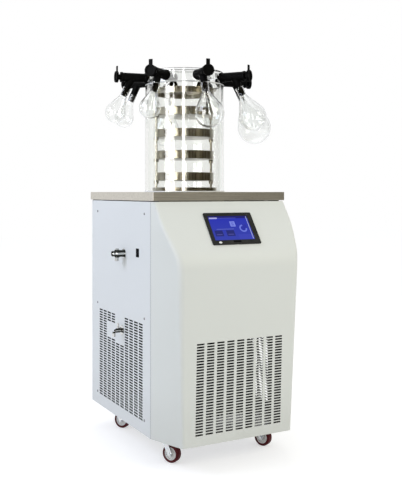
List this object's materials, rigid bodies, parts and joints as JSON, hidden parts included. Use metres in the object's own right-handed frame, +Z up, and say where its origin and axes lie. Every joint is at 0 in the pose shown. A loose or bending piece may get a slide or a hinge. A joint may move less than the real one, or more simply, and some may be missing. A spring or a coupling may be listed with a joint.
{
  "type": "freeze dryer",
  "caption": "Floor-standing laboratory freeze dryer on castors, with a clear drying chamber, a tray rack and a manifold of rubber valves that carry glass flasks.",
  "frame": {"origin": "on the floor under the drying chamber's axis", "axes": "+Z up, -Y towards the front with the screen, +X to the right of someone who faces the screen"},
  "size_m": [0.6572, 0.7702, 1.386],
  "materials": {
    "worktop_steel": "fine horizontal brush",
    "cabinet_paint": "satin powder coat",
    "cover_paint": "satin paint",
    "zinc": "zinc plate",
    "chrome": "polished",
    "black_plastic": "fine matt grain",
    "display": "lit display behind glass",
    "stainless": "satin",
    "tray_steel": "bright rolled sheet",
    "copper": "drawn tube",
    "foam": "cut foam",
    "black_paint": "enamel",
    "aluminium": "mill finish",
    "silicone": "smooth",
    "acrylic": "clear, polished",
    "black_rubber": "moulded, slight sheen",
    "glass": "clear blown glass",
    "hub_plastic": "moulded",
    "red_polyurethane": "smooth tread"
  },
  "bodies": {
    "cabinet": {"worktop": "worktop_steel", "left_side_panel": "cabinet_paint", "right_side_panel": "cabinet_paint", "rear_panel": "cabinet_paint", "front_cover": "cover_paint", "base_pan": "zinc", "frame": "black_paint", "panel_screws": "chrome", "screen_bezel": "black_plastic", "display_glass": "display", "switch_housing": "black_plastic", "vacuum_port": "chrome", "port_clamp": "chrome", "drain_valve": "chrome", "power_inlet": "black_plastic", "cold_trap": "stainless", "inner_hoses": "black_rubber", "evaporator_coil": "copper", "trap_insulation": "foam", "compressor": "black_paint", "condenser": "black_paint", "fan_shroud": "black_paint", "control_box": "zinc", "chamber_seals": "silicone", "chamber_tube": "acrylic", "manifold_cap": "acrylic", "tray_rack": "stainless", "valve_bodies": "black_rubber", "small_flasks": "glass", "medium_flasks": "glass", "large_flasks": "glass", "castor_plates": "zinc", "tray_1": "tray_steel", "tray_2": "tray_steel", "tray_3": "tray_steel", "tray_4": "tray_steel"},
    "rocker": {"switch_rocker": "black_plastic"},
    "wing_nut": {"clamp_wing_nut": "chrome"},
    "drain_handle": {"drain_lever": "chrome"},
    "fan": {"fan_blades": "aluminium"},
    "knob_1": {"valve_knob_1": "black_rubber"},
    "knob_2": {"valve_knob_2": "black_rubber"},
    "knob_3": {"valve_knob_3": "black_rubber"},
    "knob_4": {"valve_knob_4": "black_rubber"},
    "knob_5": {"valve_knob_5": "black_rubber"},
    "knob_6": {"valve_knob_6": "black_rubber"},
    "knob_7": {"valve_knob_7": "black_rubber"},
    "knob_8": {"valve_knob_8": "black_rubber"},
    "castor_1": {"castor_fork_1": "zinc"},
    "wheel_1": {"castor_hub_1": "hub_plastic", "castor_tyre_1": "red_polyurethane"},
    "castor_2": {"castor_fork_2": "zinc"},
    "wheel_2": {"castor_hub_2": "hub_plastic", "castor_tyre_2": "red_polyurethane"},
    "castor_3": {"castor_fork_3": "zinc"},
    "wheel_3": {"castor_hub_3": "hub_plastic", "castor_tyre_3": "red_polyurethane"},
    "castor_4": {"castor_fork_4": "zinc"},
    "wheel_4": {"castor_hub_4": "hub_plastic", "castor_tyre_4": "red_polyurethane"}
  },
  "joints": [
    {"name": "rocker_tilt", "type": "hinge", "parent": "cabinet", "child": "rocker", "pos_m": [-0.257, -0.149, 0.708], "axis": [0, 1, 0], "range_deg": [-16, 0]},
    {"name": "wing_nut_turn", "type": "hinge", "parent": "cabinet", "child": "wing_nut", "pos_m": [-0.287, -0.019, 0.676], "axis": [0, 1, 0], "continuous": true},
    {"name": "drain_lever_turn", "type": "hinge", "parent": "cabinet", "child": "drain_handle", "pos_m": [-0.276, -0.008, 0.417], "axis": [0, 0, 1], "range_deg": [0, 90]},
    {"name": "fan_spin", "type": "hinge", "parent": "cabinet", "child": "fan", "pos_m": [0, -0.168, 0.252], "axis": [0, 1, 0], "continuous": true},
    {"name": "knob_1_turn", "type": "hinge", "parent": "cabinet", "child": "knob_1", "pos_m": [-0.03911, -0.24692, 1.346], "axis": [-0.1564, -0.9877, 0], "range_deg": [0, 180]},
    {"name": "knob_2_turn", "type": "hinge", "parent": "cabinet", "child": "knob_2", "pos_m": [0.14695, -0.20225, 1.346], "axis": [0.5878, -0.809, 0], "range_deg": [0, 180]},
    {"name": "knob_3_turn", "type": "hinge", "parent": "cabinet", "child": "knob_3", "pos_m": [0.24692, -0.03911, 1.346], "axis": [0.9877, -0.1564, 0], "range_deg": [0, 180]},
    {"name": "knob_4_turn", "type": "hinge", "parent": "cabinet", "child": "knob_4", "pos_m": [0.20225, 0.14695, 1.346], "axis": [0.809, 0.5878, 0], "range_deg": [0, 180]},
    {"name": "knob_5_turn", "type": "hinge", "parent": "cabinet", "child": "knob_5", "pos_m": [0.03911, 0.24692, 1.346], "axis": [0.1564, 0.9877, 0], "range_deg": [0, 180]},
    {"name": "knob_6_turn", "type": "hinge", "parent": "cabinet", "child": "knob_6", "pos_m": [-0.14695, 0.20225, 1.346], "axis": [-0.5878, 0.809, 0], "range_deg": [0, 180]},
    {"name": "knob_7_turn", "type": "hinge", "parent": "cabinet", "child": "knob_7", "pos_m": [-0.24692, 0.03911, 1.346], "axis": [-0.9877, 0.1564, 0], "range_deg": [0, 180]},
    {"name": "knob_8_turn", "type": "hinge", "parent": "cabinet", "child": "knob_8", "pos_m": [-0.20225, -0.14695, 1.346], "axis": [-0.809, -0.5878, 0], "range_deg": [0, 180]},
    {"name": "castor_1_swivel", "type": "hinge", "parent": "cabinet", "child": "castor_1", "pos_m": [-0.192, -0.238, 0.08], "axis": [0, 0, 1], "continuous": true},
    {"name": "wheel_1_roll", "type": "hinge", "parent": "castor_1", "child": "wheel_1", "pos_m": [-0.18034, -0.25666, 0.0315], "axis": [-0.848, -0.5299, 0], "continuous": true},
    {"name": "castor_2_swivel", "type": "hinge", "parent": "cabinet", "child": "castor_2", "pos_m": [0.179, -0.238, 0.08], "axis": [0, 0, 1], "continuous": true},
    {"name": "wheel_2_roll", "type": "hinge", "parent": "castor_2", "child": "wheel_2", "pos_m": [0.1883, -0.25794, 0.0315], "axis": [-0.9063, -0.4226, 0], "continuous": true},
    {"name": "castor_3_swivel", "type": "hinge", "parent": "cabinet", "child": "castor_3", "pos_m": [-0.192, 0.198, 0.08], "axis": [0, 0, 1], "continuous": true},
    {"name": "wheel_3_roll", "type": "hinge", "parent": "castor_3", "child": "wheel_3", "pos_m": [-0.17938, 0.17998, 0.0315], "axis": [-0.8192, -0.5736, 0], "continuous": true},
    {"name": "castor_4_swivel", "type": "hinge", "parent": "cabinet", "child": "castor_4", "pos_m": [0.179, 0.198, 0.08], "axis": [0, 0, 1], "continuous": true},
    {"name": "wheel_4_roll", "type": "hinge", "parent": "castor_4", "child": "wheel_4", "pos_m": [0.168, 0.21705, 0.0315], "axis": [0.866, 0.5, 0], "continuous": true}
  ]
}
